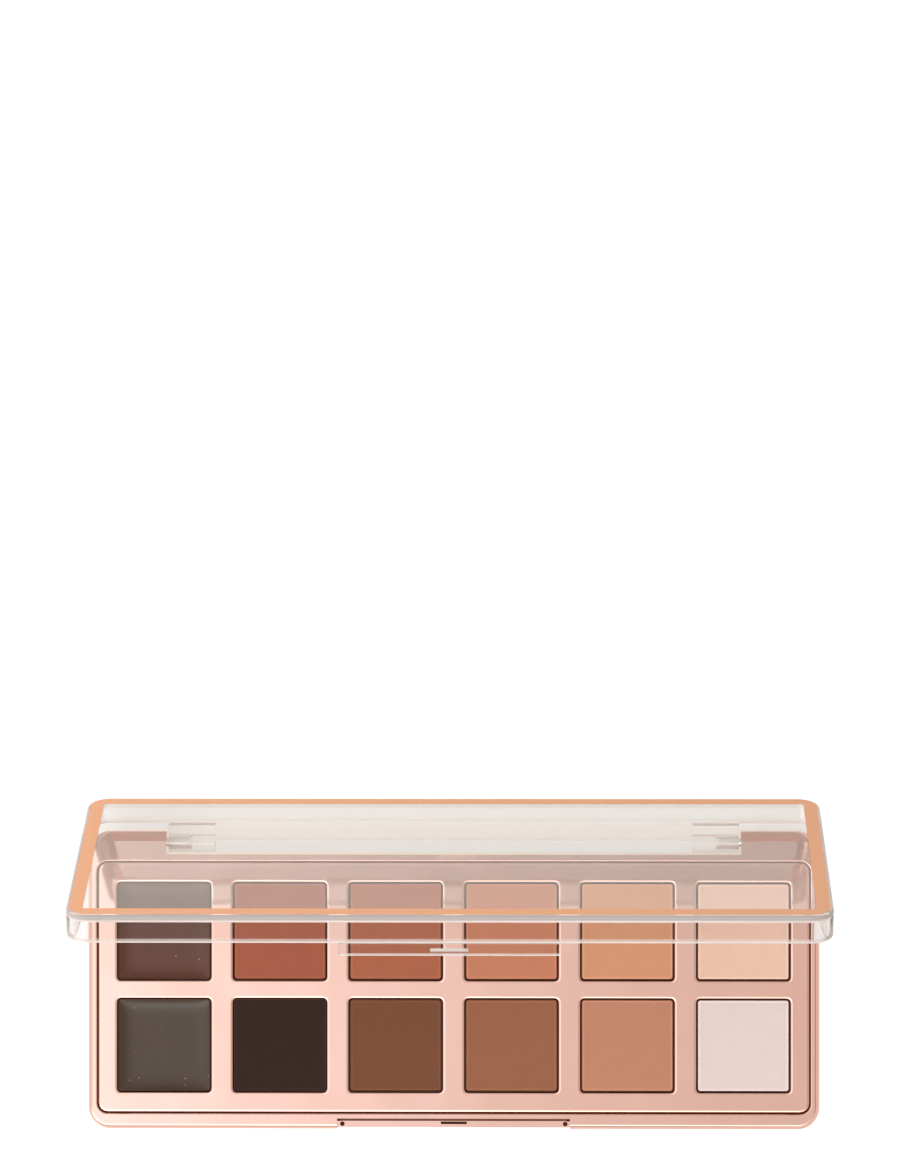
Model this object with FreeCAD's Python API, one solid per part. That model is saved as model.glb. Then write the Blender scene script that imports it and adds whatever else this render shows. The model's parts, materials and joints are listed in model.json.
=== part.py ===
"""Eyeshadow palette: a plated tray of square pans in a shallow base, under a clear hinged lid.

Millimetres. The origin is the middle of the base's flat underside, +X to the right, +Y towards the
hinge and +Z up. The lid stands open, as it does when the palette is in use.
"""
import FreeCAD
import Part
import math
import os

# Pan grid
COLUMNS = 6
ROWS = 2
COLUMN_PITCH = 20.0
ROW_PITCH = 19.3
WINDOW = 16.3
WINDOW_CORNER = 0.7

# Pans and their fillings
PAN_GAP = 0.15
PAN_HEIGHT = 3.0
PAN_WALL = 0.18
PAN_FLOOR = 0.3
PAN_RECESS = 0.35
POWDER_RECESS = 0.08
POWDER_EDGE_ROUND = 0.2
CREAM_COLUMN = 1
CREAM_RECESS = 0.1
CREAM_SAG = 0.5
CREAM_MENISCUS = 1.6
CREAM_DISH_CORNER = 2.4
CREAM_LIP = 0.08
GLUE_RADIUS = 4.0
GLUE_THICKNESS = 0.15

# Pan tray
TRAY_PLATE = 1.3
TRAY_SIDE_MARGIN = 3.2
TRAY_FRONT_MARGIN = 3.35
TRAY_BACK_MARGIN = 3.35
TRAY_CORNER = 1.6
TRAY_EDGE_ROUND = 0.15
WELL_WALL = 0.55
WELL_FLOOR = 0.8
PUSH_HOLE_RADIUS = 2.0

# Base shell
TRAY_GAP = 0.25
TRAY_RECESS = 0.3
SIDE_RIM = 1.5
FRONT_RIM = 2.65
BACK_WALL = 1.15
LEDGE = 1.0
BASE_FLOOR = 1.5
UNDER_TRAY_SPACE = 1.9
BASE_CORNER = 3.8
BASE_TOP_ROUND = 0.8
BASE_BOTTOM_ROUND = 1.2
POCKET_EDGE_ROUND = 0.2

# Underside label
LABEL_LENGTH = 62.0
LABEL_DEPTH = 13.0
LABEL_FRONT_MARGIN = 7.0
LABEL_CORNER = 2.0
LABEL_RECESS = 0.2
LABEL_THICKNESS = 0.12
LABEL_GAP = 0.3

# Hinge
NOTCH_LENGTH = 99.2
NOTCH_DEPTH = 4.0
HINGE_DROP = 3.1
BLOCK_BEVEL = 1.7
PIN_RADIUS = 0.75
PIN_RUNNING_GAP = 0.05
PIN_REACH = 3.5
PIN_END_GAP = 0.5
PIN_INSET = 0.6
KNUCKLE_GAP = 0.3
KNUCKLE_LENGTH = 8.0
KNUCKLE_NECK = 2.4
LEAF_END_GAP = 0.3
LEAF_BELOW_AXIS = 0.0

# Clear lid
LID_HEIGHT = 5.0
LID_TOP = 1.2
LID_WALL = 1.3
LID_REST_GAP = 0.2
LID_EDGE_ROUND = 0.5
LID_RIM_ROUND = 0.35
LID_INNER_ROUND = 0.4
LID_OPEN_ANGLE = 70.0
FOIL_WIDTH = 2.25
FOIL_EDGE_MARGIN = 0.05
FOIL_THICKNESS = 0.06
FOIL_INNER_CORNER = 0.3

# Front catch
CATCH_RECESS_LENGTH = 40.2
CATCH_RECESS_DEPTH = 1.4
CATCH_RECESS_CORNER = 0.6
CATCH_LIP_WIDTH = 0.45
CATCH_LIP_DROP = 0.27
CATCH_PIT_RADIUS = 0.4
CATCH_PIT_DEPTH = 1.5
CATCH_PIT_INSET = 0.8
CATCH_FLOOR_GAP = 1.25
TAB_SIDE_GAP = 1.85
TAB_INNER_GAP = 0.6
TAB_DROP = 2.15
TAB_END_ROUND = 0.5
BEAD_LENGTH = 6.3
BEAD_HEIGHT = 0.9
BEAD_PROUD = 0.3
BEAD_TIP_MARGIN = 0.2
BUMP_LENGTH = 4.5
BUMP_HEIGHT = 0.6
BUMP_PROUD = 0.12
BUMP_DROP = 0.5
SLOT_WIDTH = 0.45
SLOT_OFFSET = 0.4
SLOT_DEPTH = 1.5

# Heights, from the underside up
WELL_BOTTOM = BASE_FLOOR + UNDER_TRAY_SPACE
GLUE_BOTTOM = WELL_BOTTOM + WELL_FLOOR
PAN_BOTTOM = GLUE_BOTTOM + GLUE_THICKNESS
PAN_TOP = PAN_BOTTOM + PAN_HEIGHT
TRAY_TOP = PAN_TOP + PAN_RECESS
TRAY_BOTTOM = TRAY_TOP - TRAY_PLATE
BASE_TOP = TRAY_TOP + TRAY_RECESS
LID_RIM = BASE_TOP + LID_REST_GAP
LID_CROWN = LID_RIM + LID_HEIGHT
HINGE_Z = BASE_TOP - HINGE_DROP

# Plan sizes, from the pan grid outwards
GRID_WIDTH = (COLUMNS - 1) * COLUMN_PITCH + WINDOW
GRID_DEPTH = (ROWS - 1) * ROW_PITCH + WINDOW
TRAY_WIDTH = GRID_WIDTH + 2 * TRAY_SIDE_MARGIN
TRAY_DEPTH = TRAY_FRONT_MARGIN + GRID_DEPTH + TRAY_BACK_MARGIN
BASE_WIDTH = TRAY_WIDTH + 2 * (TRAY_GAP + SIDE_RIM)
BASE_DEPTH = FRONT_RIM + TRAY_GAP + TRAY_DEPTH + TRAY_GAP + BACK_WALL + NOTCH_DEPTH
BASE_SIDE = BASE_WIDTH / 2
BASE_FRONT = -BASE_DEPTH / 2
BASE_BACK = BASE_DEPTH / 2
TRAY_FRONT = BASE_FRONT + FRONT_RIM + TRAY_GAP
TRAY_BACK = TRAY_FRONT + TRAY_DEPTH
FIRST_ROW_Y = TRAY_FRONT + TRAY_FRONT_MARGIN + WINDOW / 2
NOTCH_FRONT = BASE_BACK - NOTCH_DEPTH
HINGE_Y = BASE_BACK - NOTCH_DEPTH / 2
LEAF_HALF = NOTCH_LENGTH / 2 - LEAF_END_GAP

PAN_SIDE = WINDOW - 2 * PAN_GAP
PAN_CORNER = WINDOW_CORNER - PAN_GAP
FILL_SIDE = PAN_SIDE - 2 * PAN_WALL
FILL_CORNER = PAN_CORNER - PAN_WALL
FILL_BOTTOM = PAN_BOTTOM + PAN_FLOOR

CATCH_FLOOR = LID_RIM - TAB_DROP - CATCH_FLOOR_GAP
CATCH_WALL = BASE_FRONT + CATCH_RECESS_DEPTH
TAB_HALF = CATCH_RECESS_LENGTH / 2 - TAB_SIDE_GAP
TAB_INNER = CATCH_WALL - TAB_INNER_GAP

# How far a cutting tool reaches past the face that it opens
OVERCUT = 5.0
FLAT = 1e-4

Vector = FreeCAD.Vector


def rounded_outline(low, high, z, corner):
    """Wire of a rectangle from corner point low to high, with round corners, at height z."""
    (x0, y0), (x1, y1) = low, high
    turns = [(x1 - corner, y0 + corner, 270), (x1 - corner, y1 - corner, 0),
             (x0 + corner, y1 - corner, 90), (x0 + corner, y0 + corner, 180)]
    edges = []
    last = None
    for x, y, start in turns + turns[:1]:
        arc = Part.makeCircle(corner, Vector(x, y, z), Vector(0, 0, 1), start, start + 90)
        if last is not None:
            edges.append(Part.makeLine(last.Vertexes[-1].Point, arc.Vertexes[0].Point))
        if len(edges) < 2 * len(turns):
            edges.append(arc)
        last = arc
    return Part.Wire(Part.__sortEdges__(edges))


def rounded_prism(low, high, bottom, top, corner):
    """Upright block with round vertical edges."""
    face = Part.Face(rounded_outline(low, high, bottom, corner))
    return face.extrude(Vector(0, 0, top - bottom))


def square_prism(centre, side, bottom, top, corner):
    """Upright rounded block of square plan about a centre point."""
    x, y = centre
    half = side / 2
    return rounded_prism((x - half, y - half), (x + half, y + half), bottom, top, corner)


def block(low, high):
    """Plain box between two corner points."""
    size = Vector(*high) - Vector(*low)
    return Part.makeBox(size.x, size.y, size.z, Vector(*low))


def cross_section(points, start, length):
    """Prism along X, of a closed outline given as (y, z) points."""
    corners = [Vector(start, y, z) for y, z in points]
    face = Part.Face(Part.makePolygon(corners + corners[:1]))
    return face.extrude(Vector(length, 0, 0))


def edges_at(shape, z, low=None, high=None):
    """Edges that lie at height z, within a rectangle in plan where one is given."""
    found = []
    for edge in shape.Edges:
        box = edge.BoundBox
        level = abs(box.ZMin - z) < FLAT and abs(box.ZMax - z) < FLAT
        inside = low is None or (box.XMin > low[0] - FLAT and box.YMin > low[1] - FLAT
                                 and box.XMax < high[0] + FLAT and box.YMax < high[1] + FLAT)
        if level and inside:
            found.append(edge)
    return found


def grid():
    """Row name, column number and centre point of each pan, the back row first."""
    names = ["front", "back"]
    places = []
    for row in reversed(range(ROWS)):
        for column in range(COLUMNS):
            x = (column - (COLUMNS - 1) / 2) * COLUMN_PITCH
            places.append((names[row], column + 1, (x, FIRST_ROW_Y + row * ROW_PITCH)))
    return places


def base_outline(inset):
    """Opposite corner points of the base's plan, drawn in by inset."""
    return (-BASE_SIDE + inset, BASE_FRONT + inset), (BASE_SIDE - inset, BASE_BACK - inset)


def tray_outline(inset):
    """Opposite corner points of the tray's plan, drawn in by inset."""
    half = TRAY_WIDTH / 2 - inset
    return (-half, TRAY_FRONT + inset), (half, TRAY_BACK - inset)


def label_outline(inset):
    """Opposite corner points of the underside label's recess, drawn in by inset."""
    half = LABEL_LENGTH / 2 - inset
    front = BASE_FRONT + LABEL_FRONT_MARGIN
    return (-half, front + inset), (half, front + LABEL_DEPTH - inset)


def base_shell():
    """Plated base: a shallow box with a ledge for the tray, hinge blocks and a front catch."""
    low, high = base_outline(0)
    shell = rounded_prism(low, high, 0, BASE_TOP, BASE_CORNER)
    shell = shell.makeFillet(BASE_BOTTOM_ROUND, edges_at(shell, 0))
    shell = shell.makeFillet(BASE_TOP_ROUND, edges_at(shell, BASE_TOP))

    pocket_low, pocket_high = tray_outline(-TRAY_GAP)
    pocket_corner = TRAY_CORNER + TRAY_GAP
    pocket = rounded_prism(pocket_low, pocket_high, TRAY_BOTTOM, BASE_TOP + OVERCUT, pocket_corner)
    shell = shell.cut(pocket)
    shell = shell.makeFillet(POCKET_EDGE_ROUND, edges_at(shell, BASE_TOP, pocket_low, pocket_high))
    cavity_low, cavity_high = tray_outline(LEDGE - TRAY_GAP)
    shell = shell.cut(rounded_prism(cavity_low, cavity_high, BASE_FLOOR, TRAY_TOP, TRAY_CORNER))

    half_notch = NOTCH_LENGTH / 2
    shell = shell.cut(block((-half_notch, NOTCH_FRONT, -OVERCUT),
                            (half_notch, BASE_BACK + OVERCUT, BASE_TOP + OVERCUT)))
    past_back = BASE_BACK + OVERCUT
    past_top = BASE_TOP + OVERCUT
    bevel = [(BASE_BACK - BLOCK_BEVEL - OVERCUT, past_top), (past_back, past_top),
             (past_back, BASE_TOP - BLOCK_BEVEL - OVERCUT)]
    shell = shell.cut(cross_section(bevel, -BASE_SIDE - OVERCUT, BASE_WIDTH + 2 * OVERCUT))
    for side in (-1, 1):
        start = Vector(side * half_notch, HINGE_Y, HINGE_Z)
        shell = shell.cut(Part.makeCylinder(PIN_RADIUS, BASE_SIDE, start, Vector(side, 0, 0)))

    return cut_catch(shell).cut(label_recess()).removeSplitter()


def cut_catch(shell):
    """Opens the front recess for the lid's tab, with its sloped lip, snap bump, floor slot and end pits."""
    half = CATCH_RECESS_LENGTH / 2
    front = BASE_FRONT - OVERCUT
    recess = rounded_prism((-half, front), (half, CATCH_WALL), CATCH_FLOOR, BASE_TOP + OVERCUT,
                           CATCH_RECESS_CORNER)
    slot_back = CATCH_WALL - SLOT_OFFSET
    slot = block((-BUMP_LENGTH / 2, slot_back - SLOT_WIDTH, CATCH_FLOOR - SLOT_DEPTH),
                 (BUMP_LENGTH / 2, slot_back, CATCH_FLOOR + OVERCUT))
    bump_top = BASE_TOP - BUMP_DROP
    bump_middle = bump_top - BUMP_HEIGHT / 2
    bump = cross_section([(CATCH_WALL, bump_top), (CATCH_WALL - BUMP_PROUD, bump_middle),
                          (CATCH_WALL, bump_top - BUMP_HEIGHT)], -BUMP_LENGTH / 2, BUMP_LENGTH)
    lip = cross_section([(CATCH_WALL, BASE_TOP - CATCH_LIP_DROP), (CATCH_WALL + CATCH_LIP_WIDTH, BASE_TOP),
                         (CATCH_WALL, BASE_TOP + OVERCUT)], -half, CATCH_RECESS_LENGTH)
    pits = [Part.makeCylinder(CATCH_PIT_RADIUS, CATCH_PIT_DEPTH + OVERCUT,
                              Vector(side * (half - CATCH_PIT_INSET), CATCH_WALL - CATCH_PIT_INSET,
                                     CATCH_FLOOR - CATCH_PIT_DEPTH)) for side in (-1, 1)]
    return shell.cut(recess).cut(lip).cut(slot).cut(pits[0]).cut(pits[1]).fuse(bump)


def label_recess():
    """Tool that sinks the label's place into the underside."""
    low, high = label_outline(0)
    return rounded_prism(low, high, -OVERCUT, LABEL_RECESS, LABEL_CORNER)


def base_label():
    """Bare paper label on the underside, clear of what the palette stands on."""
    low, high = label_outline(LABEL_GAP)
    return rounded_prism(low, high, LABEL_RECESS - LABEL_THICKNESS, LABEL_RECESS,
                         LABEL_CORNER - LABEL_GAP)


def pan_tray():
    """Plated tray: a face plate with a window over a glued well for each pan."""
    low, high = tray_outline(0)
    tray = rounded_prism(low, high, TRAY_BOTTOM, TRAY_TOP, TRAY_CORNER)
    for row, column, centre in grid():
        tray = tray.cut(square_prism(centre, WINDOW, TRAY_BOTTOM, TRAY_TOP, WINDOW_CORNER))
    tray = tray.makeFillet(TRAY_EDGE_ROUND, edges_at(tray, TRAY_TOP))
    wells = [pan_well(centre) for row, column, centre in grid()]
    return tray.fuse(wells).removeSplitter()


def pan_well(centre):
    """Open box under a window, with a hole in its floor to push the pan out."""
    outer = square_prism(centre, WINDOW + 2 * WELL_WALL, WELL_BOTTOM, TRAY_BOTTOM,
                         WINDOW_CORNER + WELL_WALL)
    inner = square_prism(centre, WINDOW, GLUE_BOTTOM, TRAY_BOTTOM, WINDOW_CORNER)
    hole = Part.makeCylinder(PUSH_HOLE_RADIUS, WELL_FLOOR, Vector(*centre, WELL_BOTTOM))
    return outer.cut(inner).cut(hole)


def pan(centre):
    """Square metal pan."""
    outer = square_prism(centre, PAN_SIDE, PAN_BOTTOM, PAN_TOP, PAN_CORNER)
    return outer.cut(square_prism(centre, FILL_SIDE, FILL_BOTTOM, PAN_TOP, FILL_CORNER))


def powder(centre):
    """Pressed powder, flat, with its top edge a little rounded."""
    top = PAN_TOP - POWDER_RECESS
    cake = square_prism(centre, FILL_SIDE, FILL_BOTTOM, top, FILL_CORNER)
    return cake.makeFillet(POWDER_EDGE_ROUND, edges_at(cake, top))


def cream(centre):
    """Poured cream, which climbs the pan's wall and sags in the middle."""
    edge = PAN_TOP - CREAM_RECESS
    middle = edge - CREAM_SAG
    reach = math.sqrt(CREAM_MENISCUS ** 2 - (CREAM_MENISCUS - CREAM_SAG) ** 2)
    dish_side = FILL_SIDE + 2 * (CREAM_MENISCUS - reach - CREAM_LIP)
    dish = square_prism(centre, dish_side, middle, edge + OVERCUT, CREAM_DISH_CORNER)
    dish = dish.makeFillet(CREAM_MENISCUS, edges_at(dish, middle))
    return square_prism(centre, FILL_SIDE, FILL_BOTTOM, edge, FILL_CORNER).cut(dish)


def glue_dots():
    """One dot of glue under each pan."""
    dots = [Part.makeCylinder(GLUE_RADIUS, GLUE_THICKNESS, Vector(*centre, GLUE_BOTTOM))
            for row, column, centre in grid()]
    return Part.makeCompound(dots)


def hinge_pin(side):
    """Steel pin, pressed into the base's block and free in the lid's knuckle."""
    inner = LEAF_HALF - PIN_REACH
    corner_y = BASE_BACK - BASE_CORNER
    bulge = math.sqrt(max(BASE_CORNER ** 2 - max(HINGE_Y - corner_y, 0) ** 2, 0))
    outer = BASE_SIDE - BASE_CORNER + bulge - PIN_INSET
    return Part.makeCylinder(PIN_RADIUS, outer - inner, Vector(side * inner, HINGE_Y, HINGE_Z),
                             Vector(side, 0, 0))


def clear_lid():
    """Clear lid, drawn shut and then swung open: a shallow cover, hinge leaf and front tab."""
    low, high = base_outline(0)
    lid = rounded_prism(low, high, LID_RIM, LID_CROWN, BASE_CORNER)
    lid = lid.makeFillet(LID_EDGE_ROUND, edges_at(lid, LID_CROWN))
    lid = lid.makeFillet(LID_RIM_ROUND, edges_at(lid, LID_RIM))
    inner_low, inner_high = base_outline(LID_WALL)
    ceiling = LID_CROWN - LID_TOP
    hollow = rounded_prism(inner_low, inner_high, LID_RIM - OVERCUT, ceiling, BASE_CORNER - LID_WALL)
    hollow = hollow.makeFillet(LID_INNER_ROUND, edges_at(hollow, ceiling))
    lid = lid.cut(hollow).fuse([hinge_leaf(), front_tab()])
    for side in (-1, 1):
        mouth = Vector(side * LEAF_HALF, HINGE_Y, HINGE_Z)
        depth = PIN_REACH + PIN_END_GAP
        bore = Part.makeCylinder(PIN_RADIUS + PIN_RUNNING_GAP, depth, mouth, Vector(-side, 0, 0))
        lid = lid.cut(bore)
    return swing_open(lid.removeSplitter())


def hinge_leaf():
    """Back wall carried down into the base's notch, with a knuckle at each end."""
    leaf = block((-LEAF_HALF, BASE_BACK - LID_WALL, HINGE_Z - LEAF_BELOW_AXIS),
                 (LEAF_HALF, BASE_BACK, LID_RIM + LID_RIM_ROUND))
    radius = NOTCH_DEPTH / 2 - KNUCKLE_GAP
    for side in (-1, 1):
        start = Vector(side * LEAF_HALF, HINGE_Y, HINGE_Z)
        barrel = Part.makeCylinder(radius, KNUCKLE_LENGTH, start, Vector(-side, 0, 0))
        ends = sorted([side * LEAF_HALF, side * (LEAF_HALF - KNUCKLE_LENGTH)])
        neck = block((ends[0], BASE_BACK - KNUCKLE_NECK, HINGE_Z), (ends[1], BASE_BACK, LID_RIM))
        leaf = leaf.fuse([barrel, neck])
    return leaf


def front_tab():
    """Thin tab under the front wall, with the bead that snaps past the base's bump."""
    tip = LID_RIM - TAB_DROP
    tab = block((-TAB_HALF, BASE_FRONT, tip), (TAB_HALF, TAB_INNER, LID_RIM))
    ends = [edge for edge in edges_at(tab, tip) if edge.BoundBox.XLength < FLAT]
    tab = tab.makeFillet(TAB_END_ROUND, ends)
    low = tip + BEAD_TIP_MARGIN
    bead = cross_section([(TAB_INNER, low), (TAB_INNER + BEAD_PROUD, low + BEAD_HEIGHT / 2),
                          (TAB_INNER, low + BEAD_HEIGHT)], -BEAD_LENGTH / 2, BEAD_LENGTH)
    return tab.fuse(bead)


def lid_foil_border():
    """Stamped foil frame round the lid's outer face."""
    margin = LID_EDGE_ROUND + FOIL_EDGE_MARGIN
    low, high = base_outline(margin)
    top = LID_CROWN + FOIL_THICKNESS
    border = rounded_prism(low, high, LID_CROWN, top, BASE_CORNER - margin)
    inner_low, inner_high = base_outline(margin + FOIL_WIDTH)
    window = rounded_prism(inner_low, inner_high, LID_CROWN, top, FOIL_INNER_CORNER)
    return swing_open(border.cut(window))


def swing_open(shape):
    """Turns a piece of the shut lid about the hinge to the open angle."""
    shape.rotate(Vector(0, HINGE_Y, HINGE_Z), Vector(1, 0, 0), -LID_OPEN_ANGLE)
    return shape


def pieces():
    """Every piece of the palette by name."""
    made = {"base_shell": base_shell(), "base_label": base_label(), "pan_tray": pan_tray(),
            "glue_dots": glue_dots(), "hinge_pin_left": hinge_pin(-1), "hinge_pin_right": hinge_pin(1),
            "clear_lid": clear_lid(), "lid_foil_border": lid_foil_border()}
    for row, column, centre in grid():
        made[f"pan_{row}_{column}"] = pan(centre)
        if column == CREAM_COLUMN:
            made[f"cream_{row}_{column}"] = cream(centre)
        else:
            made[f"powder_{row}_{column}"] = powder(centre)
    return made


def main():
    """Builds the pieces and writes one STEP file for each."""
    os.makedirs("parts", exist_ok=True)
    for name, shape in pieces().items():
        shape.exportStep(f"parts/{name}.step")
        print(f"{name}: {len(shape.Solids)} solids, {shape.Volume:.2f} mm3, valid {shape.isValid()}")
    print(f"base {BASE_WIDTH:.2f} x {BASE_DEPTH:.2f} x {BASE_TOP:.2f}, hinge at {HINGE_Y:.2f}, {HINGE_Z:.2f}")


main()
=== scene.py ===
"""An eyeshadow palette in a white studio: plated base and tray, twelve filled pans and a clear lid.

Every size is in metres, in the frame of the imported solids. The lid stands open at rest.
"""

import json
import logging
import math
from dataclasses import dataclass, field
from enum import Enum
from typing import NamedTuple, Optional, Union

import bmesh
import bpy
from mathutils import Euler, Matrix, Vector


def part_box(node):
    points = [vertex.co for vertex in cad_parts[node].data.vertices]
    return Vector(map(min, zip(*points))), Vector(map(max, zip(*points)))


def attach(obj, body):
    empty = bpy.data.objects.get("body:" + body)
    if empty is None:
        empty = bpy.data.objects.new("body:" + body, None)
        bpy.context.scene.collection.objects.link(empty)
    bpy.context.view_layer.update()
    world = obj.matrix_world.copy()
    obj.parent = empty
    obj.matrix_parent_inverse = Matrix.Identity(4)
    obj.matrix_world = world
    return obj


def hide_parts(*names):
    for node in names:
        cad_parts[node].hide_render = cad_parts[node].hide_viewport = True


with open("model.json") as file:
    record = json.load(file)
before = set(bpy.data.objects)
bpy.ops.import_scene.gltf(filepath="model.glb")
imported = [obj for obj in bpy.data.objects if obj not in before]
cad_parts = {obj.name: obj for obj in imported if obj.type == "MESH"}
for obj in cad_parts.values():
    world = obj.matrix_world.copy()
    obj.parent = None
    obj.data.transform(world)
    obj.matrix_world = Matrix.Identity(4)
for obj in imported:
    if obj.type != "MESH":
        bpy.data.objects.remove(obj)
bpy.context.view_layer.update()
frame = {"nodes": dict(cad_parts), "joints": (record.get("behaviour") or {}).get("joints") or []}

LOG = logging.getLogger("palette")
MM = 0.001
MERGE_DISTANCE = 0.0001 * MM

Colour = tuple[float, float, float]
Point = tuple[float, float, float]
Link = bpy.types.NodeSocket


class Body(Enum):
    """The rigid bodies that pieces ride on."""

    BASE = "base"
    LID = "lid"


class Row(Enum):
    """The two rows of pans."""

    BACK = "back"
    FRONT = "front"


class Filling(Enum):
    """What a pan holds."""

    POWDER = "powder"
    CREAM = "cream"


class Value:
    """A number socket of a node tree, whose Python operators add Math nodes."""

    def __init__(self, graph: "Graph", socket: Link) -> None:
        """Wraps one output socket of a graph."""
        self.graph = graph
        self.socket = socket

    def __add__(self, other: "Number") -> "Value":
        """Sum of two values."""
        return self.graph.math("ADD", self, other)

    def __radd__(self, other: "Number") -> "Value":
        """Sum of a number and this value."""
        return self.graph.math("ADD", other, self)

    def __sub__(self, other: "Number") -> "Value":
        """Difference of two values."""
        return self.graph.math("SUBTRACT", self, other)

    def __rsub__(self, other: "Number") -> "Value":
        """A number less this value."""
        return self.graph.math("SUBTRACT", other, self)

    def __mul__(self, other: "Number") -> "Value":
        """Product of two values."""
        return self.graph.math("MULTIPLY", self, other)

    def __rmul__(self, other: "Number") -> "Value":
        """Product of a number and this value."""
        return self.graph.math("MULTIPLY", other, self)

    def __truediv__(self, other: "Number") -> "Value":
        """Quotient of two values."""
        return self.graph.math("DIVIDE", self, other)

    def __rtruediv__(self, other: "Number") -> "Value":
        """A number divided by this value."""
        return self.graph.math("DIVIDE", other, self)

    def __pow__(self, other: "Number") -> "Value":
        """This value raised to a power."""
        return self.graph.math("POWER", self, other)

    def __neg__(self) -> "Value":
        """The value with its sign turned."""
        return self.graph.math("MULTIPLY", self, -1.0)

    def least(self, other: "Number") -> "Value":
        """The smaller of two values."""
        return self.graph.math("MINIMUM", self, other)

    def most(self, other: "Number") -> "Value":
        """The larger of two values."""
        return self.graph.math("MAXIMUM", self, other)

    def size(self) -> "Value":
        """The value without its sign."""
        return self.graph.math("ABSOLUTE", self)

    def root(self) -> "Value":
        """The square root of the value."""
        return self.graph.math("SQRT", self)

    def step(self, low: float, high: float) -> "Value":
        """Smooth step from 0 at low to 1 at high."""
        return self.graph.value("ShaderNodeMapRange", "Result", {"interpolation_type": "SMOOTHSTEP"},
                                {"Value": self, "From Min": low, "From Max": high})


Number = Union[float, Value]
Plug = Union[float, tuple, Value, Link, bpy.types.Material]


class Ramp(NamedTuple):
    """A smooth rise, or a fall where its height is below nothing, between two limits."""

    height: float
    start: float
    end: float

    def of(self, value: Value) -> Value:
        """The ramp's height at a value."""
        return self.height * value.step(self.start, self.end)


class Graph:
    """A node tree, with one way to add nodes."""

    def __init__(self, tree: bpy.types.NodeTree) -> None:
        """Wraps a tree that nodes are added to."""
        self.tree = tree

    def node(self, kind: str, settings: Optional[dict] = None,
             plugs: Optional[dict] = None) -> bpy.types.Node:
        """Adds a node.

        Args:
            kind: The node's type name.
            settings: Properties of the node, set before its sockets.
            plugs: Values or links for its input sockets, by name or number.

        Returns:
            The new node.
        """
        made = self.tree.nodes.new(kind)
        for name, setting in (settings or {}).items():
            setattr(made, name, setting)
        for key, plug in (plugs or {}).items():
            socket = made.inputs[key]
            if isinstance(plug, Value):
                self.tree.links.new(plug.socket, socket)
            elif isinstance(plug, Link):
                self.tree.links.new(plug, socket)
            else:
                socket.default_value = plug
        return made

    def output(self, kind: str, settings: Optional[dict] = None, plugs: Optional[dict] = None) -> Link:
        """Adds a node and gives its first output."""
        return self.node(kind, settings, plugs).outputs[0]

    def value(self, kind: str, output: Union[str, int], settings: Optional[dict] = None,
              plugs: Optional[dict] = None) -> Value:
        """Adds a node and gives one of its outputs, by name or number, as a number."""
        return Value(self, self.node(kind, settings, plugs).outputs[output])

    def math(self, operation: str, *terms: Number) -> Value:
        """Adds a Math node on its terms, in order."""
        return self.value("ShaderNodeMath", 0, {"operation": operation}, dict(enumerate(terms)))

    def axes(self, vector: Link) -> tuple[Value, Value, Value]:
        """The three parts of a vector."""
        parts = self.node("ShaderNodeSeparateXYZ", None, {0: vector}).outputs
        return Value(self, parts[0]), Value(self, parts[1]), Value(self, parts[2])

    def ray(self, kind: str) -> Value:
        """One for rays of a kind, such as Camera, and nothing for others."""
        return self.value("ShaderNodeLightPath", f"Is {kind} Ray")

    def blend(self, factor: Number, first: Plug, second: Plug) -> Link:
        """Adds a colour mix.

        Args:
            factor: Share of the second colour.
            first: Colour at factor 0.
            second: Colour at factor 1.

        Returns:
            The mixed colour's socket.
        """
        plugs = {0: factor, 6: opaque(first), 7: opaque(second)}
        return self.node("ShaderNodeMix", {"data_type": "RGBA"}, plugs).outputs[2]

    def principled(self, plugs: dict) -> Link:
        """Adds a principled shader with the given inputs."""
        return self.output("ShaderNodeBsdfPrincipled", None, plugs)

    def diffuse(self, colour: Colour) -> Link:
        """Adds a matte shader of one colour."""
        return self.output("ShaderNodeBsdfDiffuse", None, {"Color": opaque(colour)})

    def mixed(self, factor: Number, first: Link, second: Link) -> Link:
        """Adds a mix of two shaders, where the factor is the second one's share."""
        return self.output("ShaderNodeMixShader", None, {0: factor, 1: first, 2: second})


def fresh_graph(owner: Union[bpy.types.Material, bpy.types.World]) -> Graph:
    """Empties the node tree of a material or a world.

    Args:
        owner: The material or world.

    Returns:
        Its tree, with no nodes.
    """
    owner.use_nodes = True
    owner.node_tree.nodes.clear()
    return Graph(owner.node_tree)


def opaque(colour: Plug) -> Plug:
    """A colour with full alpha, or a link as it is."""
    return (*colour, 1.0) if isinstance(colour, tuple) and len(colour) == 3 else colour


def shaded(colour: Colour, share: float) -> Colour:
    """A colour with its channels scaled, up to full brightness."""
    return tuple(min(1.0, share * channel) for channel in colour)


class Finish:
    """A surface finish, which makes its material once."""

    name: str

    def material(self) -> bpy.types.Material:
        """Makes the finish's material when it is first asked for.

        Returns:
            The material, the same one each time.
        """
        name = f"{self.name}_finish"
        found = bpy.data.materials.get(name)
        if found is not None:
            return found
        made = bpy.data.materials.new(name)
        graph = fresh_graph(made)
        graph.node("ShaderNodeOutputMaterial", None, {"Surface": self.surface(graph)})
        return made

    def surface(self, graph: Graph) -> Link:
        """Builds the shader and gives its output."""
        raise NotImplementedError


def place(graph: Graph) -> Link:
    """Object coordinates, in metres."""
    return graph.node("ShaderNodeTexCoord").outputs["Object"]


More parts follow.
